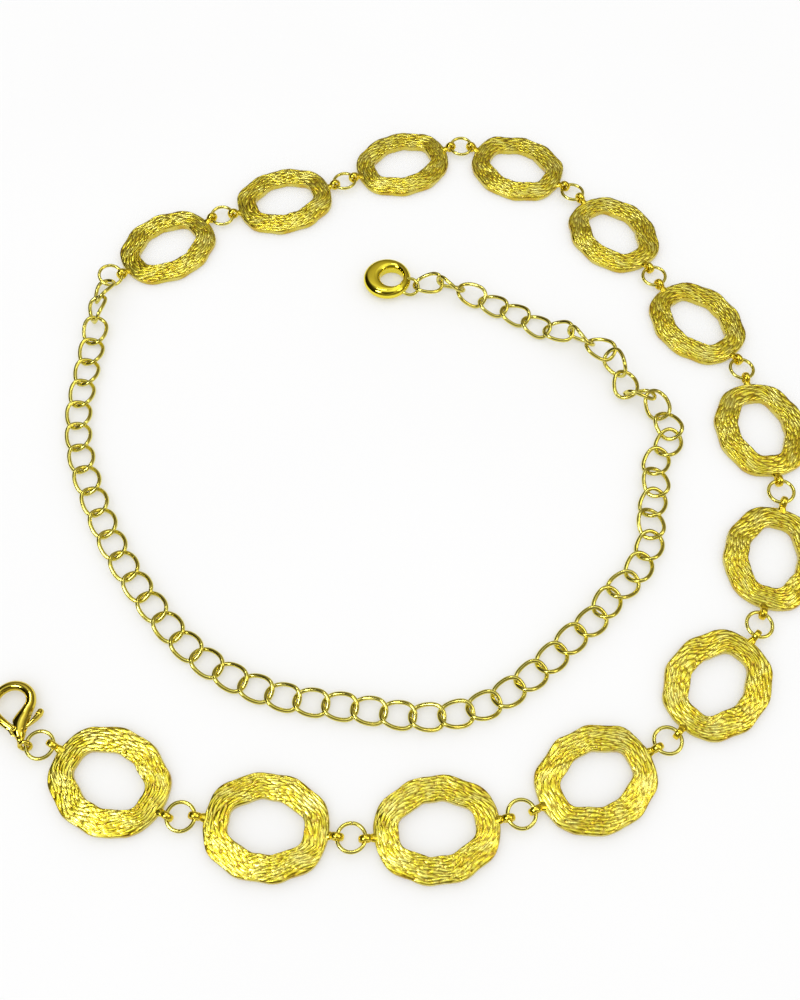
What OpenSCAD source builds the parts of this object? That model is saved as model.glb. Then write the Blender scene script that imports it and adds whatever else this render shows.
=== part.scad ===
// Waist chain laid out flat: thirteen open oval plaques with a bark-like
// outline, joined by round jump rings, with a lobster clasp at one end and
// an extender chain with a round end disc at the other.
// Millimetres, +Z up, the surface that it lies on is z = 0.

/* [Plaque] */
// Half length of a plaque, without its eyelets
plaque_a = 16.4; // [15.8:0.1:16.8]
// Half width of a plaque
plaque_b = 14.1; // [13.4:0.1:14.6]
// Half length of the plaque's hole
hole_a = 10.3; // [9.6:0.1:10.8]
// Half width of the plaque's hole
hole_b = 7.15; // [6.6:0.05:7.6]
// Thickness at the crown of the plaque
plaque_t = 2.7; // [2.3:0.1:3.2]
// Radius of the low dome on the plaque's top face
crown_r = 105; // [95:5:160]

/* [Eyelets and jump rings] */
// Distance of an eyelet's centre from the plaque's centre
eyelet_at = 19.2; // [19:0.1:19.4]
// Centreline radius of a cast eyelet
eyelet_r = 1.5; // [1.4:0.05:1.6]
// Wire radius of a cast eyelet
eyelet_w = 0.5; // [0.4:0.05:0.6]
// Height of the eyelets' and jump rings' centres
ring_z = 2; // [1.9:0.05:2.1]
// Centreline radius of a jump ring
ring_r = 3.8; // [3.7:0.05:3.9]
// Wire radius of a jump ring
ring_w = 0.55; // [0.45:0.05:0.6]

/* [Extender chain] */
// Half length of a link, along the wire's centre
link_a = 4.8; // [4.7:0.05:4.9]
// Half width of a link, along the wire's centre
link_b = 3.7; // [3.5:0.05:3.8]
// Wire radius of a link
link_w = 0.62; // [0.56:0.02:0.66]
// Distance from link to link
link_pitch = 8.2; // [8:0.05:8.3]
// Roll of a link inside a run
link_roll = 12; // [10:0.5:14]
// Roll of the links where two runs meet
end_roll = 30; // [28:0.5:33]
// Roll of the links beside those
next_roll = 2; // [0:0.5:4]

/* [End disc] */
// Radius of the end disc
disc_r = 8.1; // [7.8:0.1:8.4]
// Thickness of the end disc
disc_t = 4; // [3.6:0.1:4.4]
// Radius of its off-centre hole
disc_hole_r = 3.9; // [3.6:0.1:4.1]
// How far the hole is off centre
disc_hole_off = 1.5; // [1:0.1:1.8]
// Centreline radius of the wire loop on the disc
loop_r = 2.9; // [2.7:0.1:3.1]
// Wire radius of that loop
loop_w = 0.55; // [0.5:0.05:0.6]

/* [Clasp] */
// Centreline radius of the hook
hook_r = 5.3; // [5.1:0.1:5.5]
// Wire radius of the hook
hook_w = 1.4; // [1.2:0.05:1.5]
// Wire radius of the gate
gate_w = 1.2; // [1:0.05:1.3]
// Radius of the boss round the rivet
boss_r = 2.7; // [2.6:0.05:2.9]
// Radius of the rivet
rivet_r = 0.6; // [0.5:0.05:0.7]
// Running gap between the rivet and the lever's bore
rivet_gap = 0.05; // [0.03:0.01:0.08]
// Thickness of the lever's tongue
tongue_t = 1.4; // [1.2:0.1:1.5]
// Width of the slot that the tongue turns in
slot_t = 1.6; // [1.5:0.05:1.8]

/* [Hidden] */

gold = [0.93, 0.80, 0.25];
gold_wire = [0.90, 0.78, 0.32];
gold_polish = [0.95, 0.83, 0.35];

// Moves the layout so that the middle of its box is over the origin.
layout_shift = [-7.2, -19.7];

// One quarter of the plaque's outline, as shares of its half length and
// half width: end, two end corners, shoulder, two side corners, side.
// columns: along, across
outline_quarter = [
    [1.000, 0.000],
    [0.968, 0.300],
    [0.876, 0.588],
    [0.663, 0.772],
    [0.454, 0.915],
    [0.230, 1.000],
    [0.000, 0.997]
];

// One quarter of the hole's outline, in the same way.
// columns: along, across
hole_quarter = [
    [1.000, 0.000],
    [0.970, 0.375],
    [0.770, 0.640],
    [0.547, 0.787],
    [0.372, 0.927],
    [0.186, 1.000],
    [0.000, 0.997]
];

// The row of plaques, from the clasp on.
// columns: heading of the plaque, heading across the jump ring after it
plaque_route = [
    [-30,   0],
    [ -8,  -4],
    [  8,  16],
    [ 26,  33],
    [ 48,  66],
    [ 72,  92],
    [ 97, 102],
    [126, 110],
    [124, 132],
    [150, 180],
    [203, 207],
    [201, 194],
    [221, 200]
];

// How each jump ring lies.
// columns: lean about its heading, lean across it, height of its centre
ring_pose = [
    [  3,  0, 2.05], [  4,  0, 2], [ -3,  0, 2], [  3,  0, 2], [ -4,  0, 2],
    [  5,  0, 2],    [ -4,  0, 2], [  4,  0, 2], [ -3,  0, 2], [  5,  0, 2],
    [ -4,  0, 2.05], [  4,  0, 2], [ -4,  0, 2], [-12, -9, 2.8]
];

// Where the first plaque's first eyelet lies.
first_eyelet = [-95.6, -77.2];

// The extender chain's way, from the last plaque on; headings between the
// rows are spread evenly.
// columns: link, heading
chain_route = [
    [ 1, -108], [ 2,  -86], [ 3,  -93], [ 6,  -93], [ 8,  -79],
    [10,  -67], [12,  -64], [15,  -53], [17,  -49], [19,  -35],
    [21,  -21], [23,   -8], [26,   -9], [27,    0], [30,   34],
    [32,   43], [33,   45], [34,   35], [35,   65], [36,   28],
    [37,   66], [38,   58], [39,  105], [40,   52], [41,  105],
    [42,   59], [43,   49], [44,  122], [45,  105], [46,  185],
    [47,   90], [48,  118], [49,  147], [50,  136], [51,  176],
    [52,  140], [53,  150], [55,  156], [56,  152], [57,  190]
];

// Links that lie in a way of their own.
// columns: link, roll
turned_links = [
    [1, 25], [2, 2], [42, 34], [43, 34], [44, 2], [46, 45], [48, 2],
    [49, 30], [50, 40], [51, 2], [55, 2], [56, 26], [57, 24]
];

// First and last link of each run that is one node.
// columns: first, last
runs = [[1, 10], [11, 20], [21, 30], [31, 42], [43, 49], [50, 57]];
last_link = 57;

// Heights of the places where the chain's ends hang.
// columns: joint, height
end_heights = [[0, 2.6], [1, 2.5], [56, 2.3], [57, 2.3]];

// Clasp: its own frame has +X from the tail to the top of the hook.
clasp_at = [-104.9, -78.1];
clasp_heading = 102;
clasp_z = 2;
pivot = [5.2, 0.3];
hook_at = [13, 0.9];
gate_at = [13, 0.2];
gate_r = 6.6;
limb_turn = -110;
limb_len = 7.9;
tip_r = 9.1;
eye_at = [0.31, -1.9];
eye_r = 1.5;
eye_w = 0.6;
eye_z = 2.1;
neck_at = [0.62, -0.44];
neck_len = 3;

function dir(a) = [cos(a), sin(a)];
function mirrored(q) = let (n = len(q) - 1) concat(
    [for (i = [0 : n - 1]) q[i]],
    [for (i = [n : -1 : 1]) [-q[i][0], q[i][1]]],
    [for (i = [0 : n - 1]) [-q[i][0], -q[i][1]]],
    [for (i = [n : -1 : 1]) [q[i][0], -q[i][1]]]
);
function scaled(q, a, b) = [for (p = q) [p[0] * a, p[1] * b]];

// Places along the row of plaques.
function near_eye(k) = k == 1 ? first_eyelet
    : near_eye(k - 1) + 2 * eyelet_at * dir(plaque_route[k - 2][0])
      + 2 * ring_r * dir(plaque_route[k - 2][1]);
function plaque_pos(k) = near_eye(k) + eyelet_at * dir(plaque_route[k - 1][0]);
function ring_pos(k) = k == 1 ? first_eyelet - [ring_r, 0]
    : near_eye(k - 1) + 2 * eyelet_at * dir(plaque_route[k - 2][0])
      + ring_r * dir(plaque_route[k - 2][1]);
function ring_heading(k) = k == 1 ? 0 : plaque_route[k - 2][1];

// Places along the extender chain.
chain_start = ring_pos(14) + 3 * dir(-98);
function is_end(k) = len([for (r = runs) if (k == r[0] || k == r[1]) 1]) > 0;
function is_next(k) = len([for (r = runs) if (k - 1 == r[0] || k + 1 == r[1]) 1]) > 0;
function from_table(t, k) = [for (row = t) if (row[0] == k) row[1]];
function roll(k) = let (own = from_table(turned_links, k))
    len(own) > 0 ? own[0] : is_end(k) ? end_roll : is_next(k) ? next_roll : link_roll;
function half_height(k) = link_b * sin(roll(k)) + link_w;
function joint_z(k) = let (own = from_table(end_heights, k))
    len(own) > 0 ? own[0] : max(half_height(k), half_height(k + 1));
function heading(k) = lookup(k, chain_route);
function tilt(k) = asin((joint_z(k) - joint_z(k - 1)) / link_pitch);
function joint_xy(k) = k == 0 ? chain_start
    : joint_xy(k - 1) + link_pitch * cos(tilt(k)) * dir(heading(k));
function link_pos(k) = let (p = (joint_xy(k - 1) + joint_xy(k)) / 2)
    [p[0], p[1], (joint_z(k - 1) + joint_z(k)) / 2];

// End disc: its loop hangs in the last link.
loop_heading = 190;
loop_pos = joint_xy(last_link) + (loop_r - 0.7) * dir(loop_heading);
loop_z = 2.3;
loop_lean = -18;
disc_turn = -25;
disc_pos = loop_pos - (disc_r + 0.5) * dir(disc_turn);

// A wire ring in the XY plane, and a part of one from angle from to to.
module wire_ring(r, w) {
    rotate_extrude($fn = 72) translate([r, 0]) circle(r = w, $fn = 24);
}
module wire_arc(r, w, from, to) {
    rotate([0, 0, from]) rotate_extrude(angle = to - from, $fn = 72)
        translate([r, 0]) circle(r = w, $fn = 24);
}

// One oval link of round wire, flat in the XY plane.
module link_shape() {
    g = link_a - link_b;
    translate([g, 0, 0]) wire_arc(link_b, link_w, -90, 90);
    translate([-g, 0, 0]) wire_arc(link_b, link_w, 90, 270);
    for (s = [-1, 1])
        translate([-g, s * link_b, 0]) rotate([0, 90, 0])
            cylinder(r = link_w, h = 2 * g, $fn = 24);
}

// An eyelet that stands upright at the plaque's end, with its short neck.
module eyelet() {
    translate([eyelet_at, 0, ring_z]) rotate([90, 0, 0]) wire_ring(eyelet_r, eyelet_w);
    translate([plaque_a - 1.4, 0, 1.35]) rotate([0, 90, 0])
        cylinder(r = 0.85, h = 2.75, $fn = 32);
}

module plaque_shape() {
    difference() {
        intersection() {
            linear_extrude(height = plaque_t)
                polygon(scaled(mirrored(outline_quarter), plaque_a, plaque_b));
            translate([0, 0, plaque_t - crown_r + 0.25]) sphere(r = crown_r, $fn = 300);
        }
        translate([0, 0, -1]) linear_extrude(height = plaque_t + 2)
            polygon(scaled(mirrored(hole_quarter), hole_a, hole_b));
    }
    eyelet();
    rotate([0, 0, 180]) eyelet();
}

module plaque(k) {
    p = plaque_pos(k) + layout_shift;
    color(gold) translate([p[0], p[1], 0]) rotate([0, 0, plaque_route[k - 1][0]])
        plaque_shape();
}

module jump_ring(k) {
    p = ring_pos(k) + layout_shift;
    q = ring_pose[k - 1];
    color(gold_wire) translate([p[0], p[1], q[2]]) rotate([q[0], q[1], ring_heading(k)])
        wire_ring(ring_r, ring_w);
}

module chain_run(r) {
    color(gold_wire) for (k = [runs[r - 1][0] : runs[r - 1][1]]) {
        p = link_pos(k);
        s = k % 2 == 1 ? 1 : -1;
        translate([p[0] + layout_shift[0], p[1] + layout_shift[1], p[2]])
            rotate([s * roll(k), -tilt(k), heading(k)]) link_shape();
    }
}

// A thick round disc with rounded rims, an off-centre hole that opens out
// at both mouths, and a wire loop soldered to its edge.
module end_disc() {
    rim = 1.6;
    mouth = 0.5;
    d = disc_pos + layout_shift;
    l = loop_pos + layout_shift;
    h = d + disc_hole_off * dir(disc_turn + 20);
    color(gold_polish) difference() {
        union() {
            translate([d[0], d[1], 0]) rotate_extrude($fn = 96) {
                square([disc_r - rim, disc_t]);
                translate([0, rim]) square([disc_r, disc_t - 2 * rim]);
                for (z = [rim, disc_t - rim]) translate([disc_r - rim, z]) circle(r = rim, $fn = 48);
            }
            translate([l[0], l[1], loop_z]) rotate([loop_lean, 0, loop_heading]) wire_ring(loop_r, loop_w);
        }
        translate([h[0], h[1], -1]) cylinder(r = disc_hole_r, h = disc_t + 2, $fn = 96);
        translate([h[0], h[1], disc_t - mouth])
            cylinder(r1 = disc_hole_r, r2 = disc_hole_r + 2 * mouth, h = 2 * mouth, $fn = 96);
        translate([h[0], h[1], -mouth])
            cylinder(r1 = disc_hole_r + 2 * mouth, r2 = disc_hole_r, h = 2 * mouth, $fn = 96);
    }
}

module in_clasp() {
    p = clasp_at + layout_shift;
    translate([p[0], p[1], clasp_z]) rotate([0, 0, clasp_heading]) children();
}

// A flat wedge round the pivot, from angle from to angle to.
module wedge(r, t, from, to) {
    n = 6;
    translate([pivot[0], pivot[1], -t / 2]) linear_extrude(height = t)
        polygon(concat([[0, 0]], [for (i = [0 : n]) r * dir(from + (to - from) * i / n)]));
}

module clasp_body() {
    limb = hook_at + hook_r * dir(limb_turn);
    tail = limb + limb_len * dir(limb_turn - 90);
    color(gold_polish) in_clasp() {
        // the hook, whose tip ends on a round face about the pivot
        difference() {
            translate([hook_at[0], hook_at[1], 0]) wire_arc(hook_r, hook_w, limb_turn, 112);
            wedge(tip_r, 6, 15, 75);
        }
        difference() {
            union() {
                translate([limb[0], limb[1], 0]) rotate([0, 0, limb_turn - 90]) rotate([0, 90, 0])
                    translate([0, 0, -0.5]) cylinder(r = hook_w - 0.1, h = limb_len + 0.5, $fn = 48);
                translate([tail[0], tail[1], 0]) sphere(r = hook_w - 0.05, $fn = 48);
                translate([neck_at[0], neck_at[1], 0.05]) rotate([0, 0, -12]) rotate([0, 90, 0])
                    cylinder(r = eye_w, h = neck_len, $fn = 32);
                translate([pivot[0], pivot[1], -clasp_z])
                    cylinder(r = boss_r, h = 2 * clasp_z, $fn = 64);
                translate([eye_at[0], eye_at[1], eye_z - clasp_z])
                    rotate([0, 0, -clasp_heading]) rotate([65, 0, 0]) wire_ring(eye_r, eye_w);
            }
            // the way that the lever turns in
            translate([pivot[0], pivot[1], -slot_t / 2]) cylinder(r = 2.15, h = slot_t, $fn = 64);
            wedge(3.6, slot_t, -15, 102);
            wedge(6.4, slot_t, -134, -36);
            translate([pivot[0], pivot[1], -3]) cylinder(r = rivet_r + 0.02, h = 6, $fn = 48);
        }
    }
}

module clasp_rivet() {
    color(gold_polish) in_clasp() translate([pivot[0], pivot[1], -clasp_z])
        cylinder(r = rivet_r, h = 2 * clasp_z, $fn = 48);
}

// Gate, tongue and thumb tab in one piece.
module clasp_lever() {
    color(gold_polish) in_clasp() difference() {
        union() {
            translate([pivot[0], pivot[1], -tongue_t / 2]) cylinder(r = 2, h = tongue_t, $fn = 64);
            translate([0, 0, -tongue_t / 2]) linear_extrude(height = tongue_t)
                polygon([[5.2, 0.3], [4.6, 1.9], [5.9, 3.4], [8.2, 3.3], [7.2, 1.3]]);
            translate([0, 0, -tongue_t / 2]) linear_extrude(height = tongue_t)
                polygon([[5.2, 0.3], [4.3, -0.9], [5.4, -3.0], [6.6, -5.2], [8.6, -7.3],
                         [9.6, -7.1], [8.9, -5.4], [7.4, -3.2], [6.8, -1.0]]);
            intersection() {
                translate([gate_at[0], gate_at[1], 0]) wire_arc(gate_r, gate_w, 90, 158);
                translate([pivot[0], pivot[1], -3]) cylinder(r = tip_r - 0.12, h = 6, $fn = 128);
            }
        }
        translate([pivot[0], pivot[1], -3]) cylinder(r = rivet_r + rivet_gap, h = 6, $fn = 48);
    }
}

clasp_body();
clasp_lever();
clasp_rivet();
plaque(1);  // plaque_01
plaque(2);  // plaque_02
plaque(3);  // plaque_03
plaque(4);  // plaque_04
plaque(5);  // plaque_05
plaque(6);  // plaque_06
plaque(7);  // plaque_07
plaque(8);  // plaque_08
plaque(9);  // plaque_09
plaque(10);  // plaque_10
plaque(11);  // plaque_11
plaque(12);  // plaque_12
plaque(13);  // plaque_13
jump_ring(1);  // jump_ring_01
jump_ring(2);  // jump_ring_02
jump_ring(3);  // jump_ring_03
jump_ring(4);  // jump_ring_04
jump_ring(5);  // jump_ring_05
jump_ring(6);  // jump_ring_06
jump_ring(7);  // jump_ring_07
jump_ring(8);  // jump_ring_08
jump_ring(9);  // jump_ring_09
jump_ring(10);  // jump_ring_10
jump_ring(11);  // jump_ring_11
jump_ring(12);  // jump_ring_12
jump_ring(13);  // jump_ring_13
jump_ring(14);  // jump_ring_14
chain_run(1);  // chain_run_1
chain_run(2);  // chain_run_2
chain_run(3);  // chain_run_3
chain_run(4);  // chain_run_4
chain_run(5);  // chain_run_5
chain_run(6);  // chain_run_6
end_disc();
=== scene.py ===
import math
import bpy
import bmesh
import numpy as np
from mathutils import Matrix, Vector


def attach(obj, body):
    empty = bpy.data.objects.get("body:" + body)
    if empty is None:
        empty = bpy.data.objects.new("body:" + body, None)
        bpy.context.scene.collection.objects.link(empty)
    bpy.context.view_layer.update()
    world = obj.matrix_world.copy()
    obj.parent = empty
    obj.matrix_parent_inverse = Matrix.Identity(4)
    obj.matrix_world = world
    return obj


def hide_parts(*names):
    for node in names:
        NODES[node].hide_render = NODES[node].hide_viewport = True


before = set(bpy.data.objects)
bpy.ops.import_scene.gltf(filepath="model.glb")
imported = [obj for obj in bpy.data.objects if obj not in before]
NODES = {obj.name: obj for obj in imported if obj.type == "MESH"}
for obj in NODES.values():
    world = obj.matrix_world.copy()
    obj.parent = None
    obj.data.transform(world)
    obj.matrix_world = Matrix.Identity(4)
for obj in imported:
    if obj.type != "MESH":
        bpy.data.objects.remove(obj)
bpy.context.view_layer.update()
MM = 0.001

# ---------------------------------------------------------------- layout
# The same tables and formulas as part.scad, in millimetres.
PLAQUE_A, PLAQUE_B = 16.4, 14.1
EYELET_AT, RING_Z, RING_R, RING_W = 19.2, 2.0, 3.8, 0.55
LINK_A, LINK_B, LINK_W, PITCH = 4.8, 3.72, 0.64, 8.2
DISC_R, DISC_T, HOLE_R, HOLE_OFF = 8.1, 4.0, 3.9, 1.5
LOOP_R = 2.9
SHIFT = np.array([-7.2, -19.7])
FIRST_EYELET = np.array([-95.6, -77.2])
PLAQUE_ROUTE = [(-30, 0), (-8, -4), (8, 16), (26, 33), (48, 66), (72, 92), (97, 102),
                (126, 110), (124, 132), (150, 180), (203, 207), (201, 194), (221, 200)]
RING_POSE = [(3, 0, 2.05), (4, 0, 2), (-3, 0, 2), (3, 0, 2), (-4, 0, 2), (5, 0, 2), (-4, 0, 2),
             (4, 0, 2), (-3, 0, 2), (5, 0, 2), (-4, 0, 2.05), (4, 0, 2), (-4, 0, 2), (-12, -9, 2.8)]
CHAIN_ROUTE = [(1, -108), (2, -86), (3, -93), (6, -93), (8, -79), (10, -67), (12, -64), (15, -53),
               (17, -49), (19, -35), (21, -21), (23, -8), (26, -9), (27, 0), (30, 34), (32, 43),
               (33, 45), (34, 35), (35, 65), (36, 28), (37, 66), (38, 58), (39, 105), (40, 52),
               (41, 105), (42, 59), (43, 49), (44, 122), (45, 105), (46, 185), (47, 90), (48, 118),
               (49, 147), (50, 136), (51, 176), (52, 140), (53, 150), (55, 156), (56, 152), (57, 190)]
# How far each link that lies partly on edge is rolled about its length.
LINK_ROLL = {1: 26, 2: 52, 46: 54, 48: -55, 50: 55, 56: 55, 57: 0}
LAST = 57


def d2(a):
    a = math.radians(a)
    return np.array([math.cos(a), math.sin(a)])


def rot(ax, ay, az):
    """OpenSCAD's rotate([ax, ay, az])."""
    a, b, c = (math.radians(v) for v in (ax, ay, az))
    x = np.array([[1, 0, 0], [0, math.cos(a), -math.sin(a)], [0, math.sin(a), math.cos(a)]])
    y = np.array([[math.cos(b), 0, math.sin(b)], [0, 1, 0], [-math.sin(b), 0, math.cos(b)]])
    z = np.array([[math.cos(c), -math.sin(c), 0], [math.sin(c), math.cos(c), 0], [0, 0, 1]])
    return z @ y @ x


def plaque_places():
    """(centre, heading) of each plaque and the centre of each jump ring."""
    eye, plaques, rings = FIRST_EYELET, [], [FIRST_EYELET - [RING_R, 0]]
    for h, r in PLAQUE_ROUTE:
        plaques.append((eye + EYELET_AT * d2(h) + SHIFT, h))
        far = eye + 2 * EYELET_AT * d2(h)
        rings.append(far + RING_R * d2(r))
        eye = far + 2 * RING_R * d2(r)
    return plaques, [r + SHIFT for r in rings]


PLAQUES, RINGS = plaque_places()
RING_HEADING = [0] + [r for _, r in PLAQUE_ROUTE]


def link_curve(n):
    """Centreline of one curb link: a squarish oval with a twist, in its own frame."""
    t = np.linspace(0, 2 * math.pi, n, endpoint=False)
    c, s = np.cos(t), np.sin(t)
    return np.c_[LINK_A * np.sign(c) * np.abs(c) ** 0.9, LINK_B * np.sign(s) * np.abs(s) ** 0.9, 0.85 * np.sin(2 * t)]


def small_turn(w):
    a = np.linalg.norm(w)
    if a < 1e-12:
        return np.eye(3)
    k = w / a
    m = np.array([[0, -k[2], k[1]], [k[2], 0, -k[0]], [-k[1], k[0], 0]])
    return np.eye(3) + math.sin(a) * m + (1 - math.cos(a)) * m @ m


def turn_between(m):
    a = math.acos(max(-1.0, min(1.0, (np.trace(m) - 1) / 2)))
    v = np.array([m[2, 1] - m[1, 2], m[0, 2] - m[2, 0], m[1, 0] - m[0, 1]])
    return v / (2 * math.sin(a) + 1e-12) * a


def wire_circle(r, n=48):
    t = np.linspace(0, 2 * math.pi, n, endpoint=False)
    return np.c_[r * np.cos(t), r * np.sin(t), 0 * t]


def chain_places(rounds=240):
    """Centre and rotation of each link. The links start where the route puts them, and then neighbours
    that touch are pushed apart and all sink until they rest on the surface."""
    steps = np.array(CHAIN_ROUTE, float)
    heading = np.interp(np.arange(0, LAST + 2), steps[:, 0], steps[:, 1])
    vary = np.random.default_rng(41).uniform(-1, 1, (LAST + 1, 2))
    shape = link_curve(44)
    roll = {k: LINK_ROLL.get(k, 5 * vary[k, 0]) for k in range(1, LAST + 1)}
    half = {k: LINK_W - (shape @ rot(roll[k], 0, 0).T)[:, 2].min() for k in roll}
    z = {k: max(half[max(k, 1)], half[min(k + 1, LAST)]) * 0.92 for k in range(0, LAST + 1)}
    z[0], z[LAST] = 2.6, 2.2
    joint = RINGS[13] + 3 * d2(-98)
    c, r = [], []
    for k in range(1, LAST + 1):
        tilt = math.asin((z[k] - z[k - 1]) / PITCH)
        nxt = joint + PITCH * math.cos(tilt) * d2(heading[k])
        c.append(np.r_[(joint + nxt) / 2, (z[k] + z[k - 1]) / 2])
        r.append(rot(roll[k], -math.degrees(tilt), heading[k] + 1.5 * vary[k, 1]))
        joint = nxt
    c, r = np.array(c), np.array(r)
    c0, r0 = c.copy(), r.copy()
    loop_at = joint + (LOOP_R - 0.7) * d2(190)
    ring = place(wire_circle(RING_R), [*RINGS[13], RING_POSE[13][2]], RING_POSE[13][0], RING_POSE[13][1], PLAQUE_ROUTE[12][1])
    loop = place(wire_circle(LOOP_R), [*loop_at, 2.3], -18, 0, 190)
    for step in range(rounds):
        pts = np.einsum("kij,nj->kni", r, shape) + c[:, None]
        move, turn = np.zeros_like(c), np.zeros_like(c)

        def push(k, at, by, weight):
            move[k] += (weight[:, None] * by).sum(0) * 1.1
            turn[k] += (weight[:, None] * np.cross(at - c[k], by)).sum(0) / 10.0
        for off in (1, 2):
            gap = pts[:-off, :, None] - pts[off:, None]
            dist = np.sqrt((gap ** 2).sum(-1))
            need = 2 * LINK_W + 0.07
            for a in np.nonzero(dist.min((1, 2)) < need)[0]:
                i, j = np.nonzero(dist[a] < need)
                deep = need - dist[a][i, j]
                by = gap[a][i, j] / np.maximum(dist[a][i, j], 1e-6)[:, None] * deep[:, None] / 2
                push(a, pts[a][i], by, deep / deep.sum())
                push(a + off, pts[a + off][j], -by, deep / deep.sum())
        for fixed, k in ((ring, 0), (loop, LAST - 1)):
            gap = pts[k][:, None] - fixed[None]
            dist = np.sqrt((gap ** 2).sum(-1))
            i, j = np.nonzero(dist < LINK_W + RING_W + 0.05)
            if len(i):
                deep = LINK_W + RING_W + 0.05 - dist[i, j]
                push(k, pts[k][i], gap[i, j] / np.maximum(dist[i, j], 1e-6)[:, None] * deep[:, None], deep / deep.sum())
        for k in range(LAST):
            low = LINK_W - pts[k][:, 2]
            if low.max() > 0:
                m = low > 0
                push(k, pts[k][m], np.c_[0 * low[m], 0 * low[m], low[m]], low[m] / low[m].sum())
        pull = 0.05 * (1 - step / rounds)
        c += move + pull * (c0 - c) * [1, 1, 0.3]
        c[:, 2] -= 0.02 * (1 - step / rounds)
        for k in range(LAST):
            r[k] = small_turn(turn[k] + pull * turn_between(r0[k] @ r[k].T)) @ r[k]
    return c, r, loop_at


def place(v, centre, ax=0, ay=0, az=0):
    return np.asarray(v) @ rot(ax, ay, az).T + np.asarray(centre, float)


LINK_AT, LINK_TURN, LOOP_AT = chain_places()
DISC_AT = LOOP_AT - (DISC_R + 0.5) * d2(-25)
HOLE_AT = DISC_AT + HOLE_OFF * d2(-5)

CLASP_AT = np.array([-104.9, -78.1]) + SHIFT
CLASP_TURN = 102
CLASP_Z = 2.0
PIVOT = np.array([5.2, 0.3])


# ---------------------------------------------------------------- camera
# Placed where the photo's perspective puts it, from the round rings' outlines.
cam_data = bpy.data.cameras.new("camera")
cam_data.sensor_width = 36
cam_data.lens = 39.81
cam_data.clip_start = 0.01
cam_data.clip_end = 50
cam = bpy.data.objects.new("camera", cam_data)
cam.location = (-0.0072, -0.17866, 0.30281)
cam.rotation_euler = (math.radians(90 - 62.3), 0, 0)
bpy.context.scene.collection.objects.link(cam)
bpy.context.scene.camera = cam


# ---------------------------------------------------------------- materials
def new_material(name):
    m = bpy.data.materials.new(name)
    m.use_nodes = True
    t = m.node_tree
    t.nodes.clear()
    out = t.nodes.new("ShaderNodeOutputMaterial")
    b = t.nodes.new("ShaderNodeBsdfPrincipled")
    t.links.new(b.outputs[0], out.inputs[0])
    return m, t, b


def node(t, kind, **values):
    n = t.nodes.new(kind)
    for k, v in values.items():
        if k in n.inputs:
            n.inputs[k].default_value = v
        else:
            setattr(n, k, v)
    return n


def ramp(t, fac, stops, interp="LINEAR"):
    n = t.nodes.new("ShaderNodeValToRGB")
    n.color_ramp.interpolation = interp
    e = n.color_ramp.elements
    while len(e) < len(stops):
        e.new(0.5)
    for i, (p, c) in enumerate(stops):
        e[i].position = p
        e[i].color = c if len(c) == 4 else (*c, 1)
    t.links.new(fac, n.inputs["Fac"])
    return n.outputs["Color"]


def bark_gold():
    """Cast bark: bright yellow plating on the strands, painted shade (a dark warm colour) in the grooves between them
    and on the walls and rims, fine file-like grain along them.
    """
    m, t, b = new_material("bark_gold")
    b.inputs["Metallic"].default_value = 1.0
    b.inputs["Coat Weight"].default_value = 0.75
    b.inputs["Coat Roughness"].default_value = 0.13
    # the attribute read here is painted shade: it mixes the dark colour below into the grooves between strands and onto
    # the plaque's walls and rims
    cav = node(t, "ShaderNodeAttribute", attribute_name="groove_shade")
    uv = node(t, "ShaderNodeUVMap", uv_map="grain")
    tone = node(t, "ShaderNodeTexNoise", Scale=0.16, Detail=3.0, Roughness=0.6)
    t.links.new(uv.outputs[0], tone.inputs["Vector"])
    stretch = node(t, "ShaderNodeMapping")
    stretch.inputs["Scale"].default_value = (0.28, 2.9, 1.0)
    t.links.new(uv.outputs[0], stretch.inputs["Vector"])
    grain = node(t, "ShaderNodeTexNoise", Scale=1.0, Detail=4.0, Roughness=0.62, Distortion=0.35)
    t.links.new(stretch.outputs[0], grain.inputs["Vector"])
    face = ramp(t, tone.outputs["Fac"], [(0.36, (0.90, 0.66, 0.018)), (0.47, (0.99, 0.90, 0.046)), (0.64, (1.0, 0.96, 0.25))])
    deep = ramp(t, tone.outputs["Fac"], [(0.38, (0.33, 0.165, 0.006)), (0.62, (0.47, 0.31, 0.015))])
    mix = node(t, "ShaderNodeMix", data_type="RGBA", blend_type="MIX")
    shade = node(t, "ShaderNodeMath", operation="POWER")
    shade.inputs[1].default_value = 0.8
    t.links.new(cav.outputs["Fac"], shade.inputs[0])
    t.links.new(shade.outputs[0], mix.inputs["Factor"])
    t.links.new(face, mix.inputs[6])
    t.links.new(deep, mix.inputs[7])
    t.links.new(mix.outputs[2], b.inputs["Base Color"])
    rough = node(t, "ShaderNodeMapRange")
    rough.inputs["To Min"].default_value = 0.25
    rough.inputs["To Max"].default_value = 0.38
    t.links.new(grain.outputs["Fac"], rough.inputs["Value"])
    t.links.new(rough.outputs[0], b.inputs["Roughness"])
    bump = node(t, "ShaderNodeBump", Strength=0.45, Distance=0.00005)
    t.links.new(grain.outputs["Fac"], bump.inputs["Height"])
    t.links.new(bump.outputs[0], b.inputs["Normal"])
    return m


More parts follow.
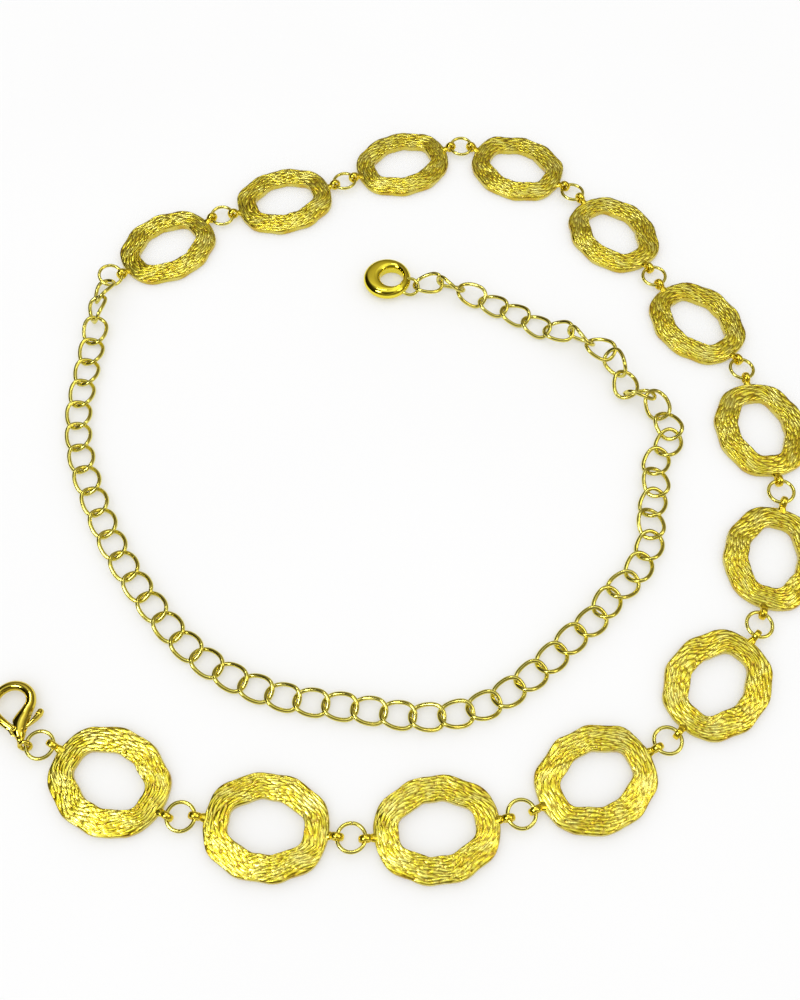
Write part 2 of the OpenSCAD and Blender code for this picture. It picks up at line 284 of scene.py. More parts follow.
def smooth_gold(name, colour, warm, rough_lo, rough_hi, bump_mm):
    """Plated wire or polished casting: faint tone drift, fine scratches and a little unevenness."""
    m, t, b = new_material(name)
    b.inputs["Metallic"].default_value = 1.0
    co = node(t, "ShaderNodeTexCoord")
    drift = node(t, "ShaderNodeTexNoise", Scale=260.0, Detail=3.0, Roughness=0.55)
    t.links.new(co.outputs["Object"], drift.inputs["Vector"])
    col = ramp(t, drift.outputs["Fac"], [(0.35, warm), (0.62, colour)])
    t.links.new(col, b.inputs["Base Color"])
    fine = node(t, "ShaderNodeTexNoise", Scale=2600.0, Detail=4.0, Roughness=0.65)
    t.links.new(co.outputs["Object"], fine.inputs["Vector"])
    r = node(t, "ShaderNodeMapRange")
    r.inputs["To Min"].default_value = rough_lo
    r.inputs["To Max"].default_value = rough_hi
    t.links.new(fine.outputs["Fac"], r.inputs["Value"])
    t.links.new(r.outputs[0], b.inputs["Roughness"])
    bump = node(t, "ShaderNodeBump", Strength=0.4, Distance=bump_mm * MM)
    t.links.new(fine.outputs["Fac"], bump.inputs["Height"])
    t.links.new(bump.outputs[0], b.inputs["Normal"])
    return m


def floor_white():
    m, t, b = new_material("floor_white")
    co = node(t, "ShaderNodeTexCoord")
    n = node(t, "ShaderNodeTexNoise", Scale=9.0, Detail=2.0)
    t.links.new(co.outputs["Object"], n.inputs["Vector"])
    c = ramp(t, n.outputs["Fac"], [(0.3, (0.655, 0.655, 0.655)), (0.7, (0.665, 0.665, 0.665))])
    t.links.new(c, b.inputs["Base Color"])
    b.inputs["Roughness"].default_value = 0.75
    b.inputs["Specular IOR Level"].default_value = 0.2
    b.inputs["Emission Color"].default_value = (1, 1, 1, 1)
    b.inputs["Emission Strength"].default_value = 0.27
    return m


BARK = bark_gold()
CAST = smooth_gold("cast_gold_smooth", (0.96, 0.79, 0.08), (0.86, 0.64, 0.04), 0.16, 0.30, 0.02)
WIRE = smooth_gold("wire_gold", (0.79, 0.71, 0.17), (0.73, 0.635, 0.105), 0.14, 0.25, 0.006)
CLASP = smooth_gold("clasp_gold", (0.77, 0.62, 0.085), (0.73, 0.57, 0.06), 0.05, 0.10, 0.002)
POLISH = smooth_gold("polished_gold", (0.91, 0.785, 0.07), (0.88, 0.74, 0.055), 0.04, 0.08, 0.002)


# ---------------------------------------------------------------- mesh helpers
def build(name, verts, quads, mats, mat_index=None, tris=None, uv=None, groove_shade=None):
    """A mesh object in metres from numpy arrays of millimetres."""
    verts = np.asarray(verts, float) * MM
    faces = [np.asarray(quads, int)] + ([np.asarray(tris, int)] if tris is not None and len(tris) else [])
    loops = np.concatenate([f.ravel() for f in faces])
    sizes = np.concatenate([np.full(len(f), f.shape[1]) for f in faces])
    starts = np.concatenate([[0], np.cumsum(sizes)[:-1]])
    me = bpy.data.meshes.new(name)
    me.vertices.add(len(verts))
    me.vertices.foreach_set("co", verts.ravel())
    me.loops.add(len(loops))
    me.loops.foreach_set("vertex_index", loops)
    me.polygons.add(len(sizes))
    me.polygons.foreach_set("loop_start", starts)
    me.polygons.foreach_set("loop_total", sizes)
    if mat_index is not None:
        me.polygons.foreach_set("material_index", np.asarray(mat_index, int))
    if uv is not None:
        layer = me.uv_layers.new(name="grain")
        layer.data.foreach_set("uv", np.asarray(uv, float)[loops].ravel())
    me.update(calc_edges=True)
    me.validate()
    me.polygons.foreach_set("use_smooth", np.ones(len(me.polygons), bool))
    if groove_shade is not None:
        a = me.attributes.new("groove_shade", "FLOAT", "POINT")
        a.data.foreach_set("value", np.asarray(groove_shade, float))
    for mat in mats:
        me.materials.append(mat)
    ob = bpy.data.objects.new(name, me)
    bpy.context.scene.collection.objects.link(ob)
    return ob


def ring_quads(rows, cols, close_rows=True, close_cols=True, base=0):
    """Quads of a grid of rows x cols vertices, closed one or both ways."""
    i = np.arange(rows if close_rows else rows - 1)
    j = np.arange(cols if close_cols else cols - 1)
    i, j = np.meshgrid(i, j, indexing="ij")
    i2, j2 = (i + 1) % rows, (j + 1) % cols
    return (np.stack([i * cols + j, i2 * cols + j, i2 * cols + j2, i * cols + j2], -1).reshape(-1, 4)) + base


def unit(v):
    return v / np.maximum(np.linalg.norm(v, axis=-1, keepdims=True), 1e-12)


def sweep(path, closed, radius, sides, flat=1.0, up=(0, 0, 1), caps=True):
    """Round or oval wire along a path. radius and flat may be one number or one per point; flat scales the section towards up.
    Returns vertices, quads and triangles."""
    path = np.asarray(path, float)
    n = len(path)
    if closed:
        tan = unit(np.roll(path, -1, 0) - np.roll(path, 1, 0))
    else:
        tan = unit(np.gradient(path, axis=0))
    up = np.asarray(up, float)
    side = unit(np.cross(np.broadcast_to(up, tan.shape), tan))
    top = unit(np.cross(tan, side))
    r = np.broadcast_to(radius, n)[:, None]
    f = np.broadcast_to(flat, n)[:, None]
    a = np.linspace(0, 2 * math.pi, sides, endpoint=False)
    ring = (path[:, None] + (r * np.cos(a))[..., None] * side[:, None] + (r * f * np.sin(a))[..., None] * top[:, None])
    v = ring.reshape(-1, 3)
    q = ring_quads(n, sides, close_rows=closed)
    tr = []
    if not closed and caps:
        # rounded ends: two smaller rings and a tip at each end
        extra, base = [], len(v)
        for e, s in ((0, -1), (n - 1, 1)):
            first = e * sides + np.arange(sides)
            prev = first
            for k in (1, 2):
                w = math.cos(k * math.pi / 6)
                h = math.sin(k * math.pi / 6) * float(r[e, 0]) * float(f[e, 0]) * s
                pts = path[e] + (ring[e] - path[e]) * w + tan[e] * h
                cur = base + np.arange(sides)
                extra.append(pts)
                base += sides
                p2, c2 = np.roll(prev, -1), np.roll(cur, -1)
                q = np.r_[q, np.stack([prev, cur, c2, p2] if s > 0 else [prev, p2, c2, cur], -1)]
                prev = cur
            extra.append((path[e] + tan[e] * float(r[e, 0]) * float(f[e, 0]) * s)[None])
            p2 = np.roll(prev, -1)
            t3 = np.stack([prev, np.full(sides, base), p2] if s > 0 else [prev, p2, np.full(sides, base)], -1)
            tr.append(t3)
            base += 1
        v = np.r_[v, np.concatenate(extra)]
    return v, q, (np.concatenate(tr) if tr else np.zeros((0, 3), int))


def joined(parts):
    """Several (vertices, quads, triangles) as one."""
    vs, qs, ts, n = [], [], [], 0
    for v, q, t in parts:
        vs.append(v)
        qs.append(np.asarray(q) + n)
        ts.append(np.asarray(t).reshape(-1, 3) + n)
        n += len(v)
    return np.concatenate(vs), np.concatenate(qs), np.concatenate(ts)


# ---------------------------------------------------------------- periodic noise
def lattice(seed, nu, nv):
    return np.random.default_rng(seed).uniform(-1, 1, (nu, nv))


def pnoise(u, v, nu, seed, scale_v=1.0):
    """Smooth noise, periodic in u over 0..1 with nu cells."""
    g = lattice(seed, nu, 64)
    x = u * nu
    y = v * scale_v + 20.0
    i, j = np.floor(x).astype(int), np.floor(y).astype(int)
    fx, fy = x - i, y - j
    fx, fy = fx * fx * (3 - 2 * fx), fy * fy * (3 - 2 * fy)
    a, b = g[i % nu, j % 64], g[(i + 1) % nu, j % 64]
    c, d = g[i % nu, (j + 1) % 64], g[(i + 1) % nu, (j + 1) % 64]
    return (a * (1 - fx) + b * fx) * (1 - fy) + (c * (1 - fx) + d * fx) * fy


def strands(u, w, length, cell_s, cell_w, seed):
    """Overlapping lens-shaped strands that run along u. u is 0..1 round the ring, w across in mm.
    Returns (relief 0..1, a 0..1 mask of the grooves between strands that paints shade into them)."""
    ns = int(round(length / cell_s))
    rng = np.random.default_rng(seed)
    jit = rng.uniform(-0.5, 0.5, (ns, 64, 4))
    x = u * ns
    y = w / cell_w + 20.0
    iy = np.floor(y).astype(int)
    best = np.full(u.shape, 9.0)
    second = np.full(u.shape, 9.0)
    slope = np.zeros(u.shape)
    for dj in (-2, -1, 0, 1, 2):
        j = iy + dj
        shift = 0.5 * (j % 2)
        ix = np.floor(x - shift).astype(int)
        for di in (-1, 0, 1):
            i = ix + di
            r = jit[i % ns, j % 64]
            cx = i + shift + 0.5 + 0.55 * r[..., 0]
            cy = j + 0.5 + 0.6 * r[..., 1]
            dx, dy = x - cx, y - cy
            d = np.sqrt(dx * dx * 1.15 + dy * dy + 1e-6)
            s = r[..., 2] * dy * 1.3 + r[..., 3] * dx * 0.9 + 0.35 * r[..., 2]
            near = d < best
            second = np.where(near, best, np.minimum(second, d))
            slope = np.where(near, s, slope)
            best = np.where(near, d, best)
    edge = second - best
    groove_shade = np.clip(1 - edge / 0.34, 0, 1) ** 1.2
    crown = np.clip(edge / 0.62, 0, 1) ** 0.60
    return crown + 0.42 * slope, groove_shade


# ---------------------------------------------------------------- plaques
OUTER = [16.40, 16.36, 16.40, 16.50, 16.46, 16.08, 15.40, 14.97, 14.90, 14.87, 14.61, 14.24, 14.07]
INNER = [10.25, 10.34, 10.34, 9.93, 9.14, 8.42, 7.98, 7.76, 7.66, 7.58, 7.43, 7.23, 7.13]


def quarter(table, theta):
    """Radius at an angle from a table of one quarter, mirrored into the others, with smooth steps."""
    a = np.degrees(theta) % 360
    a = np.where(a > 180, 360 - a, a)
    a = np.where(a > 90, 180 - a, a)
    x = a / 7.5
    i = np.clip(np.floor(x).astype(int), 0, 11)
    f = x - i
    p = np.array([table[1]] + list(table) + [table[-2]])
    p0, p1, p2, p3 = p[i], p[i + 1], p[i + 2], p[i + 3]
    return p1 + 0.5 * f * (p2 - p0 + f * (2 * p0 - 5 * p1 + 4 * p2 - p3 + f * (3 * (p1 - p2) + p3 - p0)))


def plaque_mesh(seed):
    """One cast plaque, its length along X, with its bark relief, and the two upright eyelets."""
    n_round = 400
    th = np.linspace(0, 2 * math.pi, n_round, endpoint=False)
    u = th / (2 * math.pi)
    ends = 0.5 * np.abs(np.cos(th)) ** 6
    ro = quarter(OUTER, th) + ends + 0.19 * pnoise(u, 0 * u, 13, seed + 1) + 0.11 * pnoise(u, 0 * u, 34, seed + 2)
    ri = quarter(INNER, th) + 0.13 * pnoise(u, 0 * u, 11, seed + 3) + 0.08 * pnoise(u, 0 * u, 29, seed + 4)
    length = 80.0
    # rows across the top, closer together at the two rims
    v_top = np.concatenate([[0.0, 0.012, 0.03, 0.055], np.linspace(0.08, 0.92, 38), [0.945, 0.97, 0.988, 1.0]])
    U, V = np.meshgrid(u, v_top, indexing="ij")
    W = V * (ro - ri)[:, None]
    # the strands wander: warp both coordinates first
    wu = U + (0.010 * pnoise(U, W, 9, seed + 5, 0.30) + 0.003 * pnoise(U, W, 26, seed + 6, 0.8))
    ww = W + 0.95 * pnoise(U, W, 13, seed + 7, 0.22) + 0.16 * pnoise(U, W, 30, seed + 8, 0.5)
    big, g1 = strands(wu, ww, length, 4.4, 0.78, seed + 9)
    fine, g2 = strands(wu + 0.003 * pnoise(U, W, 21, seed + 10, 0.5), ww + 0.3, length, 2.5, 0.42, seed + 11)
    knots = pnoise(U, W, 15, seed + 12, 0.25) + 0.45 * pnoise(U, W, 31, seed + 14, 0.5)
    relief = 0.225 * big + 0.065 * fine + 0.13 * knots
    # painted shade: this mask darkens the colour of the grooves between strands, on top of their real relief
    groove_shade = np.clip(0.88 * g1 + 0.26 * g2, 0, 1)
    swell = 0.16 * pnoise(U, 0 * W, 12, seed + 13)
    dome = 2.28 - 0.42 * V ** 1.7
    rim = np.minimum(V, 1 - V) * (ro - ri)[:, None]
    fade = np.clip(rim / 0.45, 0, 1) ** 0.5
    Z = dome + swell - 0.30 * (1 - fade) ** 2 + (relief - 0.12) * (0.45 + 0.55 * fade)
    Z = np.clip(Z, 1.25, 3.05)
    # the strands notch the rims a little
    edge_out = 0.10 * (relief[:, -6:].mean(1) - 0.15)
    edge_in = 0.10 * (relief[:, :6].mean(1) - 0.15)
    ro2, ri2 = ro + edge_out, ri - edge_in
    R = ri2[:, None] + V * (ro2 - ri2)[:, None]
    top = np.stack([R * np.cos(th)[:, None], R * np.sin(th)[:, None], Z], -1)

    def wall(radius, z_top, inward, fractions):
        rows = []
        for f in fractions:
            zz = z_top * (1 - f)
            bow = 0.10 * math.sin(math.pi * min(1, f * 1.1)) - (0.16 if f > 0.93 else 0.0)
            rr = radius + (-bow if inward else bow) + 0.035 * pnoise(u, f * 6 + 0 * u, 60, seed + (20 if inward else 21), 1.0)
            rows.append(np.stack([rr * np.cos(th), rr * np.sin(th), zz], -1))
        return rows
    outer_rows = wall(ro2, Z[:, -1], False, (0.12, 0.3, 0.5, 0.7, 0.88, 1.0))
    inner_rows = wall(ri2, Z[:, 0], True, (1.0, 0.88, 0.7, 0.5, 0.3, 0.12))
    under = []
    for f in (0.3, 0.7):
        rr = ro2 + (ri2 - ro2) * f
        under.append(np.stack([rr * np.cos(th), rr * np.sin(th), 0 * th], -1))
    cols = [top[:, i] for i in range(top.shape[1])] + outer_rows + under + inner_rows
    grid = np.stack(cols, 1)
    nc = grid.shape[1]
    verts = grid.reshape(-1, 3)
    quads = ring_quads(n_round, nc)
    painted_shade = np.zeros((n_round, nc))
    painted_shade[:, : top.shape[1]] = groove_shade
    # painted shade: the outer and inner walls and the underside are darkened in colour, and the rows at both rims
    # nearly as much
    painted_shade[:, top.shape[1]:] = 0.42
    painted_shade[:, :3] = np.maximum(painted_shade[:, :3], 0.35)
    painted_shade[:, top.shape[1] - 4:top.shape[1]] = np.maximum(painted_shade[:, top.shape[1] - 4:top.shape[1]], 0.35)
    # grain coordinates in mm: along the ring and across
    across = np.cumsum(np.r_[0, np.linalg.norm(np.diff(grid, axis=1), axis=2).mean(0)])
    uv = np.stack([np.broadcast_to((wu.mean(1) * length)[:, None], (n_round, nc)),
                   np.broadcast_to(across[None], (n_round, nc))], -1).copy()
    uv[:, : top.shape[1], 0] = wu * length
    uv[:, : top.shape[1], 1] = ww
    # the seam where u comes round again would smear the grain, so it is mirrored there
    uv[..., 0] = np.abs(((uv[..., 0] / length + 0.5) % 1.0) - 0.5) * length
    uv = uv.reshape(-1, 2)
    painted_shade = painted_shade.ravel()
    # eyelets
    parts_v, parts_q, parts_t = [verts], [quads], []
    n0 = len(verts)
    m0 = len(quads)
    for s in (1, -1):
        a = np.linspace(0, 2 * math.pi, 36, endpoint=False)
        rad = 1.5 + 0.0 * a
        path = np.stack([s * EYELET_AT + rad * np.cos(a), 0 * a, RING_Z + rad * np.sin(a)], -1)
        b = np.linspace(0, 2 * math.pi, 14, endpoint=False)
        radial = unit(path - np.array([s * EYELET_AT, 0, RING_Z]))
        # an oval section, longer along the hole than across it
        loop = (path[:, None] + 0.48 * np.cos(b)[None, :, None] * radial[:, None]
                + (0.92 * np.sign(np.sin(b)) * np.abs(np.sin(b)) ** 0.85)[None, :, None] * np.array([0, 1.0, 0]))
        lv = loop.reshape(-1, 3)
        lq = ring_quads(36, 14)
        # a short neck that widens into the plaque
        x = np.array([14.9, 15.7, 16.3, 16.9, 17.4, 17.9])
        ry = np.array([1.95, 1.65, 1.42, 1.24, 1.12, 0.92])
        rz = np.array([0.55, 0.70, 0.80, 0.82, 0.76, 0.60])
        zc = np.array([1.15, 1.22, 1.34, 1.50, 1.66, 1.76])
        c = np.linspace(0, 2 * math.pi, 18, endpoint=False)
        neck = np.stack([np.broadcast_to(s * x[:, None], (6, 18)), ry[:, None] * np.cos(c), zc[:, None] + rz[:, None] * np.sin(c)], -1)
        nv = neck.reshape(-1, 3)
        nq = ring_quads(6, 18, close_rows=False)
        ends = np.array([np.r_[s * x[0], 0, zc[0]], np.r_[s * x[-1] , 0, zc[-1]]])
        base = sum(len(p) for p in parts_v)
        parts_v.append(lv)
        parts_q.append(lq + base)
        base += len(lv)
        parts_v.append(nv)
        parts_q.append(nq + base)
        k = np.arange(18)
        k2 = (k + 1) % 18
        parts_t.append(np.stack([base + k, base + k2, np.full(18, base + len(nv))], -1))
        parts_t.append(np.stack([base + 90 + k2, base + 90 + k, np.full(18, base + len(nv) + 1)], -1))
        parts_v.append(ends)
    verts = np.concatenate(parts_v)
    quads = np.concatenate(parts_q)
    tris = np.concatenate(parts_t)
    extra = len(verts) - n0
    uv = np.r_[uv, verts[n0:, :2]]
    painted_shade = np.r_[painted_shade, np.zeros(extra)]
    mat = np.r_[np.zeros(m0, int), np.ones(len(quads) - m0 + len(tris), int)]
    return verts, quads, tris, uv, painted_shade, mat


# ---------------------------------------------------------------- build the plaques
def outward(ob):
    """All faces of the closed shells point out."""
    bm = bmesh.new()
    bm.from_mesh(ob.data)
    bmesh.ops.recalc_face_normals(bm, faces=bm.faces)
    bm.to_mesh(ob.data)
    bm.free()


CASTS = {}
for seed in (100, 200, 300, 400, 500):
    CASTS[seed] = plaque_mesh(seed)
ORDER = [100, 300, 200, 500, 400, 100, 300, 200, 400, 500, 100, 300, 200]
TURNED = [0, 180, 0, 180, 0, 180, 180, 0, 180, 0, 180, 0, 0]
for k, ((c, h), seed, flip) in enumerate(zip(PLAQUES, ORDER, TURNED), 1):
    v, q, tr, uv, painted_shade, mat = CASTS[seed]
    ob = build("plaque_%02d_bark" % k, place(v, [c[0], c[1], 0], az=h + flip), q, [BARK, CAST], mat, tr, uv, painted_shade)
    outward(ob)
    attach(ob, "chain")
    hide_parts("plaque_%02d" % k)

# ---------------------------------------------------------------- jump rings
# the castings' eyelets are rounder than the CAD's, so four rings lie a hair to the side to clear them
RING_NUDGE = {1: (0.24, 0, 0), 2: (-0.12, -0.12, -0.12), 11: (0.12, 0.36, -0.12), 13: (-0.12, 0.12, -0.12)}
for k, (c, pose) in enumerate(zip(RINGS, RING_POSE), 1):
    # each ring's cut lies away from its two eyelets
    gap = math.radians(0.9)
    start = math.radians(90 if k % 2 else 270)
    t = np.linspace(start + gap / 2, start + 2 * math.pi - gap / 2, 84)
    path = np.stack([RING_R * np.cos(t), RING_R * np.sin(t), np.linspace(-0.03, 0.03, 84)], -1)
    v, q, tr = sweep(path, False, RING_W, 16, caps=False)
    n = len(v)
    v = np.r_[v, path[[0, -1]]]
    j = np.arange(16)
    j2 = (j + 1) % 16
    tr = np.r_[np.stack([j, j2, np.full(16, n)], -1), np.stack([n - 16 + j2, n - 16 + j, np.full(16, n + 1)], -1)]
    dx, dy, dz = RING_NUDGE.get(k, (0, 0, 0))
    ob = build("jump_ring_%02d_wire" % k, place(v, [c[0] + dx, c[1] + dy, pose[2] + dz], pose[0], pose[1], RING_HEADING[k - 1]), q, [WIRE], None, tr)
    outward(ob)
    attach(ob, "chain")
    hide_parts("jump_ring_%02d" % k)

# ---------------------------------------------------------------- extender chain
RUNS = [(1, 10), (11, 20), (21, 30), (31, 42), (43, 49), (50, 57)]
shape = link_curve(60)
for r, (a, b) in enumerate(RUNS, 1):
    parts = []
    for k in range(a, b + 1):
        parts.append(sweep(shape @ LINK_TURN[k - 1].T + LINK_AT[k - 1], True, LINK_W, 14))
    v, q, tr = joined(parts)
    ob = build("extender_run_%d" % r, v, q, [WIRE], None, tr)
    outward(ob)
    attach(ob, "chain")
    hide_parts("chain_run_%d" % r)

# ---------------------------------------------------------------- end disc
def disc_mesh():
    """Profile from the bore's foot, up and over the dished top to the rounded rim and back under."""
    n = 128
    a = np.linspace(0, 2 * math.pi, n, endpoint=False)
    rows = []
    # columns: share from the hole's circle to the rim's circle, distance off that circle, height
    prof = [(0, 0.55, 0.10), (0, 0.22, 0.32), (0, 0.05, 0.62), (0, 0.0, 1.0), (0, 0.0, 1.6), (0, 0.0, 2.3), (0, 0.03, 2.75), (0, 0.12, 3.15),
            (0, 0.30, 3.48), (0, 0.58, 3.74), (0, 0.95, 3.90)]
    for s, off, z in prof:
        rows.append((0.0, HOLE_R + off, z))
    for f in (0.25, 0.5, 0.75):
        rows.append((f, None, 3.90 + 0.09 * math.sin(math.pi * f)))
    rim = 1.95
    for g in np.linspace(90, -90, 17):
        g = math.radians(g)
        rows.append((1.0, DISC_R - 2.1 + 2.1 * math.cos(g), 2.0 + rim * math.sin(g) - 0.02))
    for f in (0.7, 0.35):
        rows.append((f, None, 0.03))
    cols = []
    r_in, r_out = HOLE_R + 0.95, DISC_R - 2.1
    for f, r, z in rows:
        if r is None:
            p = (1 - f) * (HOLE_AT[:, None] + (r_in if z > 1 else HOLE_R + 0.55) * np.array([np.cos(a), np.sin(a)])) \
                + f * (DISC_AT[:, None] + r_out * np.array([np.cos(a), np.sin(a)]))
        else:
            centre = DISC_AT if f > 0.5 else HOLE_AT
            p = centre[:, None] + r * np.array([np.cos(a), np.sin(a)])
        cols.append(np.stack([p[0], p[1], np.full(n, z)], -1))
    grid = np.stack(cols, 1)
    return grid.reshape(-1, 3), ring_quads(n, grid.shape[1]), np.zeros((0, 3), int)


t = np.linspace(0, 2 * math.pi, 60, endpoint=False)
loop = place(np.stack([LOOP_R * np.cos(t), LOOP_R * np.sin(t), 0 * t], -1), [LOOP_AT[0], LOOP_AT[1], 2.3], -18, 0, 190)
v, q, tr = joined([disc_mesh(), sweep(loop, True, 0.55, 14)])
nd = len(disc_mesh()[1])
ob = build("end_disc_polished", v, q, [POLISH, WIRE], np.r_[np.zeros(nd, int), np.ones(len(q) - nd, int)], tr)
outward(ob)
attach(ob, "chain")
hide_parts("end_disc")

# ---------------------------------------------------------------- clasp
def smooth_path(points, n):
    """A smooth curve through control rows; every column is interpolated."""
    p = np.asarray(points, float)
    k = len(p)
    x = np.linspace(0, k - 1, n)
    i = np.clip(np.floor(x).astype(int), 0, k - 2)
    f = (x - i)[:, None]
    q = np.r_[2 * p[:1] - p[1:2], p, 2 * p[-1:] - p[-2:-1]]
    p0, p1, p2, p3 = q[i], q[i + 1], q[i + 2], q[i + 3]
    return p1 + 0.5 * f * (p2 - p0 + f * (2 * p0 - 5 * p1 + 4 * p2 - p3 + f * (3 * (p1 - p2) + p3 - p0)))


def in_clasp(v):
    """From the clasp's own frame to the row's, in mm."""
    return place(v, [CLASP_AT[0], CLASP_AT[1], CLASP_Z], az=CLASP_TURN)


def smax(a, b, k):
    return np.maximum(a, b) + np.maximum(k - np.abs(a - b), 0) ** 2 / (4 * k)


def smin(a, b, k):
    return -smax(-a, -b, k)


def along(rows, xy):
    """Distance in plan to a line, and the line's own columns at its nearest place."""
    pt = xy.reshape(-1, 1, 2)
    a, ab = rows[:-1, :2], np.diff(rows[:, :2], axis=0)
    t = np.clip(((pt - a) * ab).sum(-1) / (ab ** 2).sum(-1), 0, 1)
    dd = ((pt - a - t[..., None] * ab) ** 2).sum(-1)
    k = dd.argmin(1)
    i = np.arange(len(k))
    t, d = t[i, k][:, None], np.sqrt(dd[i, k])
    w = rows[k, 2:] * (1 - t) + rows[k + 1, 2:] * t
    return d.reshape(xy.shape[:-1]), [c.reshape(xy.shape[:-1]) for c in w.T]


def limb(rows, xy, z):
    """A bar along a plan line. columns: x, y, half width, share of it in height, roundness."""
    d, (w, h, p) = along(rows, xy)
    q = ((d / w) ** p + (np.abs(z) / (w * h)) ** p + 1e-9) ** (1 / p)
    return (q - 1) * np.minimum(w, w * h)


def outline(points, xy):
    """Distance to a closed plan outline, below nothing inside it."""
    o = np.asarray(points, float)
    rows = np.r_[o, o[:1]]
    d, _ = along(np.c_[rows, 0 * rows[:, 0]], xy)
    inside = np.zeros(xy.shape[:-1], bool)
    for a, b in zip(rows[:-1], rows[1:]):
        cross = (a[1] > xy[..., 1]) != (b[1] > xy[..., 1])
        at = a[0] + (xy[..., 1] - a[1]) * (b[0] - a[0]) / (b[1] - a[1] + 1e-12)
        inside ^= cross & (xy[..., 0] < at)
    return np.where(inside, -d, d)


def sector(r, a0, a1, steps=10):
    return [tuple(PIVOT)] + [tuple(PIVOT + r * d2(a0 + (a1 - a0) * i / steps)) for i in range(steps + 1)]


def skin_of(name, field, lo, hi, step, mat):
    """The surface on which the field is nothing, as an even mesh drawn onto it."""
    ax = [np.arange(a, b + step, step) for a, b in zip(lo, hi)]
    xy = np.stack(np.meshgrid(ax[0], ax[1], indexing="ij"), -1)[:, :, None]
    val = field(xy, ax[2][None, None])
    n = np.array(val.shape)
    total = np.zeros((*(n - 1), 3))
    count = np.zeros(n - 1)
    quads = []
    ids = np.arange(np.prod(n - 1)).reshape(n - 1)
    for axis in range(3):
        a = np.take(val, range(n[axis] - 1), axis)
        b = np.take(val, range(1, n[axis]), axis)
        cut = (a < 0) != (b < 0)
        t = np.where(cut, a / np.where(cut, a - b, 1), 0)
        grid = np.stack(np.meshgrid(*[np.arange(m) for m in a.shape], indexing="ij"), -1).astype(float)
        grid[..., axis] += t
        others = [i for i in range(3) if i != axis]
        for da in (0, 1):
            for db in (0, 1):
                sl = [slice(None)] * 3
                sl[others[0]] = slice(da, da + n[others[0]] - 1)
                sl[others[1]] = slice(db, db + n[others[1]] - 1)
                total += np.where(cut[tuple(sl)][..., None], grid[tuple(sl)], 0)
                count += cut[tuple(sl)]
        inner = [slice(None)] * 3
        inner[others[0]] = slice(1, n[others[0]] - 1)
        inner[others[1]] = slice(1, n[others[1]] - 1)
        where = np.argwhere(cut[tuple(inner)])
        out = (a[tuple(inner)] < 0)[tuple(where.T)]
        corner = []
        for da, db in ((0, 0), (1, 0), (1, 1), (0, 1)):
            w = where.copy()
            w[:, others[0]] += da
            w[:, others[1]] += db
            corner.append(ids[tuple(w.T)])
        q = np.stack(corner, -1)
        if axis == 1:
            out = ~out
        q[~out] = q[~out][:, ::-1]
        quads.append(q)
    quads = np.concatenate(quads)
    used, new = np.unique(quads, return_inverse=True)
    v = (total.reshape(-1, 3)[used] / count.reshape(-1)[used][:, None]) * step + np.array([a[0] for a in ax])
    e = 0.02
    for _ in range(2):
        f0 = field(v[:, :2], v[:, 2])
        g = np.stack([(field(v[:, :2] + np.array(o[:2]), v[:, 2] + o[2]) - f0) / e
                      for o in ((e, 0, 0), (0, e, 0), (0, 0, e))], -1)
        move = -(f0 / np.maximum((g ** 2).sum(-1), 0.25))[:, None] * g
        size = np.linalg.norm(move, axis=1, keepdims=True)
        v = v + move * np.minimum(1, 0.6 * step / np.maximum(size, 1e-9))
    # knife edges are worn round
    new = new.reshape(-1, 4)
    a, b = new[:, [0, 1, 2, 3]].ravel(), new[:, [1, 2, 3, 0]].ravel()
    share = np.bincount(a, minlength=len(v)).astype(float)
    for _ in range(3):
        near = np.stack([np.bincount(a, v[b, i], len(v)) for i in range(3)], -1) / share[:, None]
        v = 0.45 * v + 0.55 * near
    return build(name, in_clasp(v), new, [mat])


# columns: x, y, half width, share of that half width in height, roundness
BODY = smooth_path([(1.6, -0.50, 0.70, 1.00, 2.0), (2.3, -0.66, 0.95, 1.05, 2.0), (3.6, -0.60, 1.70, 0.92, 1.85), (5.2, -0.50, 2.36, 0.80, 1.75),
                    (6.9, -0.85, 2.56, 0.78, 1.72), (8.7, -1.90, 2.20, 0.86, 1.75), (10.5, -3.05, 1.72, 1.0, 1.85), (12.6, -4.15, 1.46, 1.0, 2.0),
                    (15.3, -3.90, 1.40, 1.0, 2.0), (17.5, -1.95, 1.40, 1.0, 2.0), (18.35, 0.90, 1.38, 1.0, 2.0), (17.5, 3.75, 1.30, 1.0, 2.0),
                    (15.6, 5.60, 1.20, 1.0, 2.0), (14.0, 6.20, 1.12, 1.0, 2.0)], 66)
NECK = smooth_path([(0.45, -0.42, 0.62, 1.0, 2.0), (1.2, -0.55, 0.66, 1.0, 2.0), (2.0, -0.65, 0.80, 1.0, 2.0), (3.0, -0.65, 1.1, 1.0, 2.0)], 10)
EYE_TURN = rot(0, 0, -CLASP_TURN) @ rot(65, 0, 0)
EYE_POS = np.array([0.31, -1.9, 0.1])
SLOTS = (sector(3.9, -15, 102), sector(6.3, -118, -46))


def eye_field(xy, z):
    x, y, z = np.broadcast_arrays(xy[..., 0] - EYE_POS[0], xy[..., 1] - EYE_POS[1], z - EYE_POS[2])
    n = EYE_TURN[:, 2]
    h = x * n[0] + y * n[1] + z * n[2]
    r = np.sqrt(np.maximum(x * x + y * y + z * z - h * h, 0))
    return np.sqrt((r - 1.5) ** 2 + h * h) - 0.60


